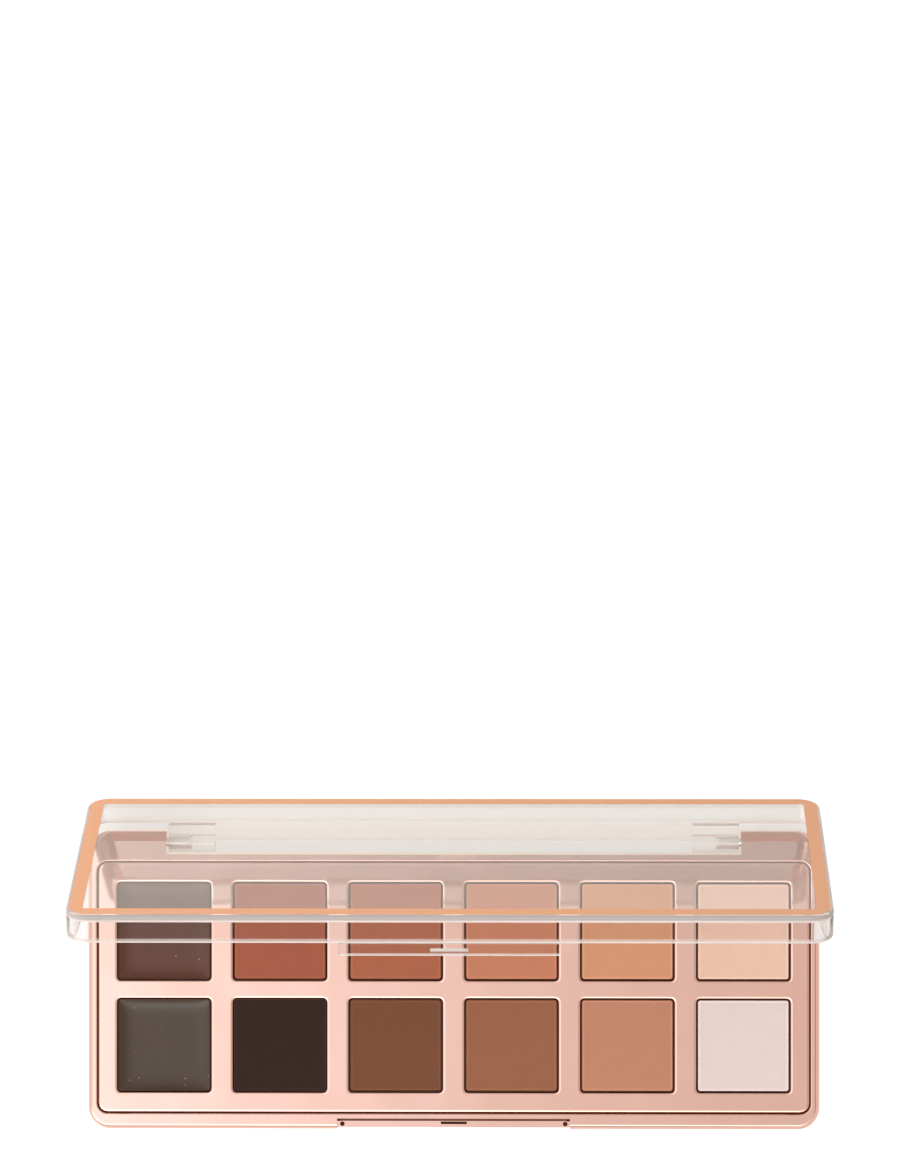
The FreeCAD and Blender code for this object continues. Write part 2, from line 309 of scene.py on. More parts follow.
def noise(graph: Graph, feature: float, detail: float = 3.0, rough: float = 0.5) -> Value:
    """Adds cloudy noise.

    Args:
        graph: Tree to add to.
        feature: Size of the noise's features, in metres.
        detail: Number of finer octaves.
        rough: Strength of the finer octaves.

    Returns:
        The noise, from 0 to 1.
    """
    plugs = {"Vector": place(graph), "Scale": 1.0 / feature, "Detail": detail, "Roughness": rough}
    return graph.value("ShaderNodeTexNoise", 0, None, plugs)


def band(value: Value, low: float, high: float, soft: float = 0.06 * MM) -> Value:
    """One between two limits, nothing outside them, with soft ends."""
    return value.step(low - soft, low) * (1.0 - value.step(high, high + soft))


def bump(graph: Graph, height: Value, depth: float, under: Optional[Link] = None) -> Link:
    """Adds a relief.

    Args:
        graph: Tree to add to.
        height: Relief from 0 to 1.
        depth: Depth of the relief, in metres.
        under: Normal of a relief below this one.

    Returns:
        The relief's normal.
    """
    plugs = {"Height": height, "Distance": depth, "Strength": 1.0}
    if under is not None:
        plugs["Normal"] = under
    return graph.output("ShaderNodeBump", None, plugs)


@dataclass(frozen=True)
class RoseGoldPlating(Finish):
    """Metallised plastic: bright, a little wavy, with a fine orange peel, and dark brown shade painted into
    its gaps and along the catch's lip.
    """

    name: str = "rose_gold_plating"
    colour: Colour = (0.88, 0.555, 0.47)
    deep_colour: Colour = (0.87, 0.53, 0.44)
    cloud_steps: tuple[float, float] = (0.35, 0.7)
    roughness: float = 0.045
    coat: float = 0.8
    coat_roughness: float = 0.03
    haze: float = 1.5 * MM
    haze_roughness: float = 0.04
    wave: float = 9 * MM
    wave_depth: float = 0.045 * MM
    peel: float = 0.7 * MM
    peel_depth: float = 0.0012 * MM
    gap_shade_colour: Colour = (0.16, 0.06, 0.032)
    gap_roughness: float = 0.3
    gap_start: float = 0.6 * MM
    gap_end: float = 1.1 * MM
    side_rim: float = 1.3 * MM
    front_rim: float = 2.3 * MM
    back_rim: float = 4.8 * MM
    floor_height: float = 1.4 * MM
    catch_floor: float = 4.8 * MM
    catch_depth: float = 1.5 * MM
    catch_half_length: float = 20.1 * MM
    catch_margin: float = 0.1 * MM
    hole_depth: float = 2 * MM
    lip_start_share: float = 0.9
    lip_width: float = 0.5 * MM
    lip_drop: float = 0.3 * MM
    lip_top_share: float = 0.1
    lip_soft: float = 0.02 * MM
    lip_shade_strength: float = 0.95

    def surface(self, graph: Graph) -> Link:
        """Builds the shader.

        Args:
            graph: Tree to add to.

        Returns:
            The shader's output.
        """
        cloud = noise(graph, self.wave * 2, detail=2.0)
        tone = graph.blend(cloud.step(*self.cloud_steps), self.colour, self.deep_colour)
        haze = noise(graph, self.haze, detail=4.0)
        waves = bump(graph, noise(graph, self.wave, detail=0.0), self.wave_depth)
        relief = bump(graph, noise(graph, self.peel, detail=1.0), self.peel_depth, waves)
        # Painted shade: dark brown in the gaps round the tray, in the catch's holes and along its lip.
        shade_mask = self.painted_gap_shade(graph)
        return graph.principled({
            "Base Color": graph.blend(shade_mask, tone, self.gap_shade_colour),
            "Metallic": 1.0,
            "Roughness": self.roughness + self.haze_roughness * haze + self.gap_roughness * shade_mask,
            "Coat Weight": self.coat * (1.0 - shade_mask),
            "Coat Roughness": self.coat_roughness,
            "Normal": relief})

    def painted_gap_shade(self, graph: Graph) -> Value:
        """Finds where dark brown shade is painted: deep inside the rim, under the catch's floor and on its
        lip.

        Args:
            graph: Tree to add to.

        Returns:
            One where the painted shade is full, and nothing where the plating keeps its own colour.
        """
        low, high = span("base_shell")
        x, along, z = graph.axes(place(graph))
        across = (x - (low.x + high.x) / 2).size()
        height = z - low.z
        tall = high.z - low.z
        half = (high.x - low.x) / 2 - self.side_rim
        # Painted shade deep between the tray and the rim.
        inside = band(across, -half, half) * band(along, low.y + self.front_rim, high.y - self.back_rim)
        deep = band(height, self.floor_height, tall - self.gap_end, self.gap_end - self.gap_start)
        # Painted shade in the holes of the catch's floor, and a painted dark line on the lip behind it.
        at_catch = band(across, -half, self.catch_half_length)
        catch_end = low.y + self.catch_depth
        catch = at_catch * band(along, low.y + self.catch_margin, catch_end)
        holes = band(height, self.catch_floor - self.hole_depth, self.catch_floor - self.catch_margin)
        lip_start = low.y + self.lip_start_share * self.catch_depth
        lip = at_catch * band(along, lip_start, catch_end + self.lip_width)
        slope = band(height, tall - self.lip_drop, tall - self.lip_top_share * self.lip_drop, self.lip_soft)
        return (inside * deep).most(catch * holes).most(self.lip_shade_strength * lip * slope)


@dataclass(frozen=True)
class ClearPlastic(Finish):
    """Polished clear moulding, with faint handling haze and a painted white glow on its edges."""

    name: str = "clear_plastic"
    colour: Colour = (0.965, 0.96, 0.955)
    glow_colour: Colour = (0.93, 0.83, 0.78)
    ior: float = 1.57
    roughness: float = 0.008
    haze: float = 14 * MM
    haze_ramp: Ramp = Ramp(0.05, 0.55, 0.85)
    wave: float = 18 * MM
    wave_depth: float = 0.012 * MM
    edge_glow: float = 0.5
    open_angle: float = 70.0
    crown_height: float = 8.3 * MM
    plate: float = 1.2 * MM
    height: float = 5.0 * MM
    corner: float = 3.8 * MM
    corner_share: float = 0.5
    painted_edge_width: float = 0.6 * MM
    rim_width: float = 0.45 * MM
    tab_drop: float = 2.15 * MM
    bead_half_length: float = 3.1 * MM
    bead_height: float = 0.9 * MM
    bead_margin: float = 0.2 * MM
    bead_line: float = 0.3 * MM
    knuckle_share: float = 0.4

    def surface(self, graph: Graph) -> Link:
        """Builds the shader, which lets lamp light straight through.

        Args:
            graph: Tree to add to.

        Returns:
            The shader's output.
        """
        haze = noise(graph, self.haze, detail=5.0, rough=0.6)
        polished = graph.principled({
            "Base Color": opaque(self.colour),
            "Roughness": self.roughness + self.haze_ramp.of(haze),
            "IOR": self.ior,
            "Transmission Weight": 1.0,
            "Normal": bump(graph, noise(graph, self.wave, detail=1.0), self.wave_depth)})
        # Painted glow: a pale matte layer on the edges, the knuckles and the catch's tip and bead.
        glow = self.edge_glow * self.edges(graph)
        glowing = graph.mixed(glow, polished, graph.diffuse(self.glow_colour))
        clear = graph.output("ShaderNodeBsdfTransparent", None, {"Color": opaque(self.colour)})
        return graph.mixed(graph.ray("Shadow"), glowing, clear)

    def edges(self, graph: Graph) -> Value:
        """Finds where a glow is painted, as painted highlights where light gathers: the edges, the knuckles,
        and the catch's tip and bead.

        Args:
            graph: Tree to add to.

        Returns:
            One where the painted glow is brightest, and nothing on the clear faces.
        """
        hinge = Vector(frame["joints"][0]["pos_m"])
        low, high = span("base_shell")
        reach = hinge.y - low.y
        half = (high.x - low.x) / 2
        lean = math.radians(self.open_angle)
        x, y, z = graph.axes(place(graph))
        across = x.size()
        back = y - hinge.y
        up = z - hinge.z
        # Depth below the plate's outer face and distance out from the hinge, with the lid open at rest.
        deep = self.crown_height - math.sin(lean) * back - math.cos(lean) * up
        out = math.sin(lean) * up - math.cos(lean) * back
        in_plate = band(deep, -self.plate, self.plate)
        # Distance past a smaller rectangle, whose outlines are round at the plate's corners.
        past_side = (across - (half - self.corner)).most(0.0)
        past_front = out - (reach - self.corner)
        past_back = (hinge.y - high.y + self.corner) - out
        past_end = past_front.most(past_back).most(0.0)
        from_middle = (past_side * past_side + past_end * past_end).root()
        on_edge = band(from_middle, self.corner - self.painted_edge_width, 2 * reach)
        corners = past_side.step(0.0, self.corner / 2) * past_end.step(0.0, self.corner / 2)
        rim = band(deep, self.height - self.rim_width, self.height)
        tip_depth = self.height + self.tab_drop
        tip = band(deep, tip_depth - self.bead_margin, 2 * tip_depth)
        bead_depth = tip_depth - self.bead_margin - self.bead_height
        at_bead = band(across, -half, self.bead_half_length)
        bead = at_bead * band(deep, bead_depth, bead_depth + self.bead_line)
        catch = tip.most(bead) * band(out, reach / 2, 2 * reach)
        knuckles = band(deep, self.height + self.rim_width, 4 * self.height) * band(out, -reach, reach / 4)
        soft = (self.knuckle_share * knuckles).most(self.corner_share * corners)
        return (in_plate * on_edge).most(rim).most(catch).most(soft)


@dataclass(frozen=True)
class CopperFoil(Finish):
    """Hot-stamped satin foil, very slightly mottled."""

    name: str = "copper_foil"
    colour: Colour = (0.85, 0.445, 0.27)
    worn_colour: Colour = (0.87, 0.51, 0.34)
    worn_steps: tuple[float, float] = (0.4, 0.8)
    metallic: float = 0.85
    roughness: float = 0.36
    grain_roughness: float = 0.1
    grain: float = 0.5 * MM
    grain_depth: float = 0.002 * MM

    def surface(self, graph: Graph) -> Link:
        """Builds the shader.

        Args:
            graph: Tree to add to.

        Returns:
            The shader's output.
        """
        grain = noise(graph, self.grain, detail=4.0)
        return graph.principled({
            "Base Color": graph.blend(grain.step(*self.worn_steps), self.colour, self.worn_colour),
            "Metallic": self.metallic,
            "Roughness": self.roughness + self.grain_roughness * grain,
            "Normal": bump(graph, grain, self.grain_depth)})


@dataclass(frozen=True)
class PressedPowder(Finish):
    """Matte pressed powder: fine grain, soft mottling, a few paler flecks and a painted highlight along its
    edge.
    """

    name: str
    colour: Colour
    node: str
    painted_edge_width: float = 0.25 * MM
    edge_highlight_lift: float = 1.25
    edge_highlight_share: float = 0.8
    grain: float = 0.09 * MM
    grain_depth: float = 0.012 * MM
    mottle: float = 2.5 * MM
    mottle_depth: float = 0.02 * MM
    mottle_steps: tuple[float, float] = (0.3, 0.7)
    dark_share: float = 0.97
    fleck_lift: float = 0.07
    fleck_ramp: Ramp = Ramp(0.5, 0.62, 0.8)
    roughness: float = 0.8
    grain_roughness: float = 0.15
    specular: float = 0.2

    def surface(self, graph: Graph) -> Link:
        """Builds the shader.

        Args:
            graph: Tree to add to.

        Returns:
            The shader's output.
        """
        pale = tuple(channel + self.fleck_lift * (1 - channel) for channel in self.colour)
        soft = noise(graph, self.mottle, detail=5.0, rough=0.6)
        fine = noise(graph, self.grain, detail=2.0)
        tone = graph.blend(soft.step(*self.mottle_steps), shaded(self.colour, self.dark_share), self.colour)
        flecked = graph.blend(self.fleck_ramp.of(fine), tone, pale)
        # A painted highlight: the powder's colour made paler along its edge.
        lit = shaded(self.colour, self.edge_highlight_lift)
        relief = bump(graph, fine, self.grain_depth, bump(graph, soft, self.mottle_depth))
        return graph.principled({
            "Base Color": graph.blend(self.edge_highlight_share * self.edge(graph), flecked, lit),
            "Roughness": self.roughness + self.grain_roughness * fine,
            "Specular IOR Level": self.specular,
            "Normal": relief})

    def edge(self, graph: Graph) -> Value:
        """Finds the painted edge highlight, a narrow band along the four sides.

        Args:
            graph: Tree to add to.

        Returns:
            One on the edge, and nothing inside it.
        """
        low, high = span(self.node)
        x, y, _ = graph.axes(place(graph))
        inset = 2 * self.painted_edge_width
        across = band(x, low.x + inset, high.x - inset, self.painted_edge_width)
        along = band(y, low.y + inset, high.y - inset, self.painted_edge_width)
        return 1.0 - across * along


@dataclass(frozen=True)
class PouredCream(Finish):
    """Poured cream with a soft gloss and tiny specks."""

    name: str
    colour: Colour
    cloud: float = 6 * MM
    cloud_steps: tuple[float, float] = (0.3, 0.7)
    dark_share: float = 0.9
    speck_colour: Colour = (0.42, 0.25, 0.17)
    speck_pitch: float = 0.8 * MM
    speck_edge: tuple[float, float] = (0.10, 0.16)
    speck_share: float = 0.06
    speck_share_soft: float = 0.005
    ripple: float = 2.2 * MM
    ripple_depth: float = 0.005 * MM
    roughness: float = 0.28
    cloud_roughness: float = 0.06
    specular: float = 0.5

    def surface(self, graph: Graph) -> Link:
        """Builds the shader.

        Args:
            graph: Tree to add to.

        Returns:
            The shader's output.
        """
        cloud = noise(graph, self.cloud, detail=4.0)
        tone = graph.blend(cloud.step(*self.cloud_steps), shaded(self.colour, self.dark_share), self.colour)
        plugs = {"Vector": place(graph), "Scale": 1.0 / self.speck_pitch}
        cells = graph.node("ShaderNodeTexVoronoi", None, plugs).outputs
        chance = graph.value("ShaderNodeSeparateColor", 0, None, {0: cells["Color"]})
        near = 1.0 - Value(graph, cells["Distance"]).step(*self.speck_edge)
        rare = 1 - self.speck_share
        speck = near * chance.step(rare - self.speck_share_soft, rare)
        return graph.principled({
            "Base Color": graph.blend(speck, tone, self.speck_colour),
            "Roughness": self.roughness + self.cloud_roughness * cloud,
            "Specular IOR Level": self.specular,
            "Normal": bump(graph, noise(graph, self.ripple, detail=3.0), self.ripple_depth)})


@dataclass(frozen=True)
class Mottled(Finish):
    """A plain surface whose colour, gloss and relief all follow one noise."""

    name: str
    colour: Colour
    roughness: float
    mark_roughness: float
    mark: float
    mark_depth: float
    dark_share: float
    detail: float = 3.0
    rough: float = 0.5
    metallic: float = 0.0

    def surface(self, graph: Graph) -> Link:
        """Builds the shader.

        Args:
            graph: Tree to add to.

        Returns:
            The shader's output.
        """
        marks = noise(graph, self.mark, self.detail, self.rough)
        return graph.principled({
            "Base Color": graph.blend(marks, self.colour, shaded(self.colour, self.dark_share)),
            "Metallic": self.metallic,
            "Roughness": self.roughness + self.mark_roughness * marks,
            "Normal": bump(graph, marks, self.mark_depth)})


@dataclass(frozen=True)
class PlainMetal(Mottled):
    """Bare pressed or drawn metal, with fine drawing marks."""

    roughness: float = 0.32
    mark_roughness: float = 0.12
    mark: float = 0.25 * MM
    mark_depth: float = 0.004 * MM
    dark_share: float = 0.85
    metallic: float = 1.0


@dataclass(frozen=True)
class LabelPaper(Mottled):
    """Bare matte paper with visible fibre."""

    name: str = "label_paper"
    colour: Colour = (0.86, 0.80, 0.77)
    roughness: float = 0.85
    mark_roughness: float = 0.1
    mark: float = 0.4 * MM
    mark_depth: float = 0.01 * MM
    dark_share: float = 0.93
    detail: float = 6.0
    rough: float = 0.7


@dataclass(frozen=True)
class SetGlue(Mottled):
    """Set glue, waxy and uneven."""

    name: str = "set_glue"
    colour: Colour = (0.85, 0.82, 0.72)
    roughness: float = 0.35
    mark_roughness: float = 0.2
    mark: float = 1.2 * MM
    mark_depth: float = 0.03 * MM
    dark_share: float = 0.9


@dataclass(frozen=True)
class Shade:
    """One filling of the palette."""

    row: Row
    column: int
    filling: Filling
    colour: Colour

    @property
    def place(self) -> str:
        """Row and column, as in the solids' names."""
        return f"{self.row.value}_{self.column}"

    @property
    def node(self) -> str:
        """Name of the filling's solid."""
        return f"{self.filling.value}_{self.place}"

    @property
    def slot(self) -> str:
        """Name of the shade's slot in the record."""
        return f"shade_{self.place}"

    def finish(self) -> Finish:
        """The finish for this shade."""
        if self.filling is Filling.CREAM:
            return PouredCream(self.slot, self.colour)
        return PressedPowder(self.slot, self.colour, self.node)


SHADES = (
    Shade(Row.BACK, 1, Filling.CREAM, (0.094, 0.026, 0.011)),
    Shade(Row.BACK, 2, Filling.POWDER, (0.39, 0.11, 0.062)),
    Shade(Row.BACK, 3, Filling.POWDER, (0.43, 0.135, 0.071)),
    Shade(Row.BACK, 4, Filling.POWDER, (0.58, 0.22, 0.125)),
    Shade(Row.BACK, 5, Filling.POWDER, (0.68, 0.315, 0.175)),
    Shade(Row.BACK, 6, Filling.POWDER, (0.85, 0.55, 0.42)),
    Shade(Row.FRONT, 1, Filling.CREAM, (0.050, 0.026, 0.014)),
    Shade(Row.FRONT, 2, Filling.POWDER, (0.036, 0.018, 0.014)),
    Shade(Row.FRONT, 3, Filling.POWDER, (0.20, 0.076, 0.038)),
    Shade(Row.FRONT, 4, Filling.POWDER, (0.33, 0.127, 0.067)),
    Shade(Row.FRONT, 5, Filling.POWDER, (0.54, 0.24, 0.147)),
    Shade(Row.FRONT, 6, Filling.POWDER, (0.79, 0.64, 0.60)),
)


def span(node: str) -> tuple[Vector, Vector]:
    """Lowest and highest corners of a solid of the frame."""
    low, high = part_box(node)
    return Vector(low), Vector(high)


def added(name: str, data: bpy.types.ID) -> bpy.types.Object:
    """Adds an object to the scene.

    Args:
        name: Its name.
        data: Its mesh, lamp or camera.

    Returns:
        The new object.
    """
    made = bpy.data.objects.new(name, data)
    bpy.context.scene.collection.objects.link(made)
    return made


def dress(node: str, finish: Finish) -> None:
    """Gives a solid of the frame its finish.

    Args:
        node: Name of the solid.
        finish: The finish that it takes.
    """
    shown = frame["nodes"][node]
    shown.data.materials.clear()
    shown.data.materials.append(finish.material())
    LOG.info("dressed %s in %s", node, finish.name)


def settle(piece: bpy.types.Object, body: Body, nodes: list[str]) -> None:
    """Ties a new piece to its body and to the solids that it stands for.

    Args:
        piece: The new piece.
        body: The body that it rides on.
        nodes: The solids that it stands for.
    """
    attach(piece, body.value)
    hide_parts(*nodes)
    LOG.info("made %s with %d faces in place of %s", piece.name, len(piece.data.polygons), ", ".join(nodes))


class Socket(Enum):
    """Kinds of input of a Geometry Nodes tree."""

    LENGTH = "NodeSocketFloat"
    COUNT = "NodeSocketInt"
    PLACE = "NodeSocketVector"
    MATERIAL = "NodeSocketMaterial"


class Recipe(Graph):
    """A Geometry Nodes tree with named inputs, which makes plain meshes."""

    sharp_angle: float = 40.0

    def __init__(self, name: str, lengths: tuple[str, ...], counts: tuple[str, ...] = ()) -> None:
        """Makes an empty tree, with a place and a material beside its other inputs.

        Args:
            name: Name of the tree.
            lengths: Names of its inputs that are lengths or plain numbers.
            counts: Names of its inputs that are counts.
        """
        super().__init__(bpy.data.node_groups.new(name, "GeometryNodeTree"))
        self.keys: dict[str, str] = {}
        inputs = {label: Socket.LENGTH for label in lengths}
        inputs |= {label: Socket.COUNT for label in counts}
        inputs |= {"Centre": Socket.PLACE, "Material": Socket.MATERIAL}
        for label, kind in inputs.items():
            made = self.tree.interface.new_socket(label, in_out="INPUT", socket_type=kind.value)
            self.keys[label] = made.identifier
        self.tree.interface.new_socket("Geometry", in_out="OUTPUT", socket_type="NodeSocketGeometry")
        self.source = self.node("NodeGroupInput")

    def given(self, label: str) -> Value:
        """One of the tree's inputs."""
        return Value(self, self.source.outputs[label])

    def vector(self, x: Number, y: Number, z: Number) -> Link:
        """A vector from its three parts."""
        return self.output("ShaderNodeCombineXYZ", None, {0: x, 1: y, 2: z})

    def placed(self, shape: Link, at: Link) -> Link:
        """A shape with its points at given places."""
        return self.output("GeometryNodeSetPosition", None, {0: shape, "Position": at})

    def moved(self, shape: Link, by: Plug) -> Link:
        """A shape moved as a whole."""
        return self.output("GeometryNodeTransform", None, {0: shape, "Translation": by})

    def flipped(self, shape: Link) -> Link:
        """A shape with its faces turned over."""
        return self.output("GeometryNodeFlipFaces", None, {0: shape})

    def joined(self, *shapes: Link) -> Link:
        """Joins shapes and merges the points that fall together.

        Args:
            *shapes: The shapes.

        Returns:
            One shape.
        """
        both = self.node("GeometryNodeJoinGeometry")
        for each in shapes:
            self.tree.links.new(each, both.inputs[0])
        plugs = {"Geometry": both.outputs[0], "Distance": MERGE_DISTANCE}
        return self.output("GeometryNodeMergeByDistance", None, plugs)

    def close(self, shape: Link) -> None:
        """Ends the tree in a smooth, real mesh with its material.

        Args:
            shape: The finished shape.
        """
        smooth = self.output("GeometryNodeSetShadeSmooth", None, {0: shape})
        real = self.output("GeometryNodeRealizeInstances", None, {0: smooth})
        dressed = self.output("GeometryNodeSetMaterial", None, {0: real, "Material": self.given("Material")})
        self.node("NodeGroupOutput", None, {0: dressed})

    def make(self, name: str, finish: Finish,
             sizes: dict[str, Union[float, int, Vector]]) -> bpy.types.Object:
        """Makes a piece from the tree.

        Args:
            name: Name of the piece.
            finish: Its finish.
            sizes: Values of the tree's inputs, by name.

        Returns:
            The piece, as a plain mesh.
        """
        made = added(name, bpy.data.meshes.new(name))
        maker = made.modifiers.new("maker", "NODES")
        maker.node_group = self.tree
        for label, size in sizes.items():
            maker[self.keys[label]] = size
        maker[self.keys["Material"]] = finish.material()
        shown = made.evaluated_get(bpy.context.evaluated_depsgraph_get())
        mesh = bpy.data.meshes.new_from_object(shown)
        made.modifiers.remove(maker)
        made.data = mesh
        turn_outwards(mesh)
        mesh.set_sharp_from_angle(angle=math.radians(self.sharp_angle))
        return made


def turn_outwards(mesh: bpy.types.Mesh) -> None:
    """Points a closed mesh's faces outwards.

    Args:
        mesh: The mesh to change.
    """
    work = bmesh.new()
    work.from_mesh(mesh)
    bmesh.ops.recalc_face_normals(work, faces=work.faces[:])
    work.to_mesh(mesh)
    work.free()


@dataclass
class Fillings:
    """The twelve fillings: flat pressed powders, and creams that climb at their pans."""

    rings: int = 24
    crowding: float = 2.5
    corner: float = 0.37 * MM
    powder_round: float = 0.12 * MM
    powder_waviness: float = 0.02 * MM
    cream_round: float = 0.02 * MM
    cream_climb: float = 0.38 * MM
    cream_climb_power: float = 8.5
    cream_edge: float = 0.15 * MM
    cream_waviness: float = 0.02 * MM
    ripple: float = 4.0 * MM
    ripple_detail: float = 2.0
    calm_edge: float = 2.0 * MM
    nearest_ring: float = 1e-6

    def recipe(self) -> Recipe:
        """Builds the tree for a filling: a rounded square, crowded with points at its edge.

        Returns:
            The tree.
        """
        made = Recipe("pan_filling", (
            "Side", "Corner", "Top", "Bottom", "Edge Round", "Climb", "Climb Power", "Waviness", "Seed"))
        count = 2 * self.rings + 1
        # A grid from -1 to 1, seen as square rings that crowd towards its edge.
        grid = made.output("GeometryNodeMeshGrid", None, {
            "Size X": 2.0, "Size Y": 2.0, "Vertices X": count, "Vertices Y": count})
        half = made.given("Side") / 2.0
        corner = made.given("Corner")
        straight = half - corner
        across, along, _ = made.axes(made.output("GeometryNodeInputPosition"))
        ring = across.size().most(along.size()).most(self.nearest_ring)
        inset = (1.0 - ring).most(0.0) ** self.crowding
        # Each point goes out to the rounded outline, and back in by its ring's inset.
        over_x = across / ring * half
        over_y = along / ring * half
        kept_x = over_x.least(straight).most(-straight)
        kept_y = over_y.least(straight).most(-straight)
        out_x = over_x - kept_x
        out_y = over_y - kept_y
        reach = (out_x * out_x + out_y * out_y).root()
        middle_x, middle_y, _ = made.axes(made.given("Centre").socket)
        from_x = (1.0 - inset) * (kept_x + corner * out_x / reach)
        from_y = (1.0 - inset) * (kept_y + corner * out_y / reach)
        x = middle_x + from_x
        y = middle_y + from_y
        # The edge is rounded, a cream is dished inside it, and the ripples die down towards it.
        from_edge = inset * half
        edge_round = made.given("Edge Round")
        bend = (1.0 - from_edge / edge_round).most(0.0)
        drop = edge_round * (1.0 - (1.0 - bend * bend).most(0.0).root())
        power = made.given("Climb Power")
        dish_x = 1.0 - (from_x / half).size() ** power
        dish_y = 1.0 - (from_y / half).size() ** power
        sink = made.given("Climb") * dish_x * dish_y * from_edge.step(0.0, self.cream_edge)
        spot = made.vector(x, y, made.given("Seed"))
        cloud = made.value("ShaderNodeTexNoise", 0, None, {
            "Vector": spot, "Scale": 1.0 / self.ripple, "Detail": self.ripple_detail})
        ripples = made.given("Waviness") * cloud * from_edge.step(0.0, self.calm_edge)
        top = made.given("Top")
        bottom = made.given("Bottom")
        # The skin's open edge is drawn down to a flat underside.
        skin = made.placed(grid, made.vector(x, y, top - drop - sink - ripples))
        open_edge = 2.0 - made.value("GeometryNodeInputMeshEdgeNeighbors", 0)
        fall = made.vector(0.0, 0.0, bottom - top + edge_round)
        sides = made.output("GeometryNodeExtrudeMesh", {"mode": "EDGES"}, {
            "Mesh": skin, "Selection": open_edge, "Offset": fall, "Offset Scale": 1.0})
        under = made.flipped(made.placed(grid, made.vector(x, y, bottom)))
        made.close(made.joined(sides, under))
        return made

    def build(self) -> None:
        """Makes the fillings in place of their solids."""
        recipe = self.recipe()
        for seed, shade in enumerate(SHADES):
            low, high = span(shade.node)
            cream = shade.filling is Filling.CREAM
            piece = recipe.make(f"{shade.node}_cake", shade.finish(), {
                "Side": high.x - low.x,
                "Corner": self.corner,
                "Top": high.z,
                "Bottom": low.z,
                "Edge Round": self.cream_round if cream else self.powder_round,
                "Climb": self.cream_climb if cream else 0.0,
                "Climb Power": self.cream_climb_power,
                "Waviness": self.cream_waviness if cream else self.powder_waviness,
                "Seed": float(seed),
                "Centre": (low + high) / 2})
            settle(piece, Body.BASE, [shade.node])


@dataclass
class PanGrid:
    """The places of the pans, in columns and rows."""

    columns: int = 6
    rows: int = 2

    def __post_init__(self) -> None:
        """Takes the places from the frame."""
        self.first_low, self.first_high = span("pan_front_1")
        last_low, self.last_high = span(f"pan_back_{self.columns}")
        self.side = self.first_high.x - self.first_low.x
        self.column_pitch = (last_low.x - self.first_low.x) / (self.columns - 1)
        self.row_pitch = (last_low.y - self.first_low.y) / (self.rows - 1)


@dataclass
class Pans:
    """The twelve pressed metal pans, with narrow rolled rims, coloured a dark brown that is painted shade
    round the fillings.
    """

    grid: PanGrid = field(default_factory=PanGrid)
    # The pans' dark brown is painted shade for the gap round each filling, not the metal's own colour.
    metal: Finish = PlainMetal("pan_metal", (0.12, 0.06, 0.04), 0.40)
    corner: float = 0.55 * MM
    floor: float = 0.3 * MM
    rim_share: float = 0.45
    bend_points: int = 8

    def recipe(self) -> Recipe:
        """Builds the tree that sweeps a wall round a rounded square, floors it and repeats it in rows.

        Returns:
            The tree.
        """
        lengths = ("Side", "Corner", "Wall", "Height", "Floor", "Column Pitch", "Row Pitch")
        made = Recipe("pan_rows", lengths, ("Columns", "Rows"))
        wall = made.given("Wall")
        height = made.given("Height")
        middle_side = made.given("Side") - wall
        path = self.rounded(made, middle_side, middle_side, made.given("Corner") - wall / 2.0)
        section = self.rounded(made, wall, height, wall * self.rim_share)
        ring = made.output("GeometryNodeCurveToMesh", None, {"Curve": path, "Profile Curve": section})
        plate = made.output("GeometryNodeFillCurve", {"mode": "NGONS"}, {0: path})
        rise = made.vector(0.0, 0.0, made.given("Floor"))
        lifted = made.output("GeometryNodeExtrudeMesh", {"mode": "FACES"}, {
            "Mesh": plate, "Offset": rise, "Offset Scale": 1.0})
        slab = made.joined(lifted, made.flipped(plate))
        floor = made.moved(slab, made.vector(0.0, 0.0, height / -2.0))
        columns = made.given("Columns")
        rows = made.given("Rows")
        spots = made.output("GeometryNodeMeshGrid", None, {
            "Size X": (columns - 1.0) * made.given("Column Pitch"),
            "Size Y": (rows - 1.0) * made.given("Row Pitch"),
            "Vertices X": columns,
            "Vertices Y": rows})
        made.close(made.output("GeometryNodeInstanceOnPoints", None, {
            "Points": made.moved(spots, made.given("Centre")), "Instance": made.joined(ring, floor)}))
        return made

    def rounded(self, made: Recipe, width: Number, depth: Number, corner: Number) -> Link:
        """Adds a rounded rectangle to a tree.

        Args:
            made: Tree to add to.
            width: Its length along x.
            depth: Its length along y.
            corner: Radius of its corners.

        Returns:
            The closed curve.
        """
        square = made.output("GeometryNodeCurvePrimitiveQuadrilateral", {"mode": "RECTANGLE"}, {
            "Width": width, "Height": depth})
        return made.output("GeometryNodeFilletCurve", {"mode": "POLY"}, {
            "Curve": square, "Count": self.bend_points, "Radius": corner, "Limit Radius": True})

    def build(self) -> None:
        """Makes the pans in place of their solids."""
        grid = self.grid
        powder_low, _ = span("powder_front_2")
        pan_low, _ = span("pan_front_2")
        piece = self.recipe().make("pans", self.metal, {
            "Side": grid.side,
            "Corner": self.corner,
            "Wall": powder_low.x - pan_low.x,
            "Height": grid.first_high.z - grid.first_low.z,
            "Floor": self.floor,
            "Columns": grid.columns,
            "Rows": grid.rows,
            "Column Pitch": grid.column_pitch,
            "Row Pitch": grid.row_pitch,
            "Centre": (grid.first_low + grid.last_high) / 2})
        settle(piece, Body.BASE, [f"pan_{shade.place}" for shade in SHADES])


class Edge(NamedTuple):
    """Distances from the middle of a window to the four sides of an outline round it."""

    left: float
    right: float
    front: float
    back: float

    def grown(self, away: float) -> "Edge":
        """The outline moved out on all four sides."""
        return Edge(*[side + away for side in self])


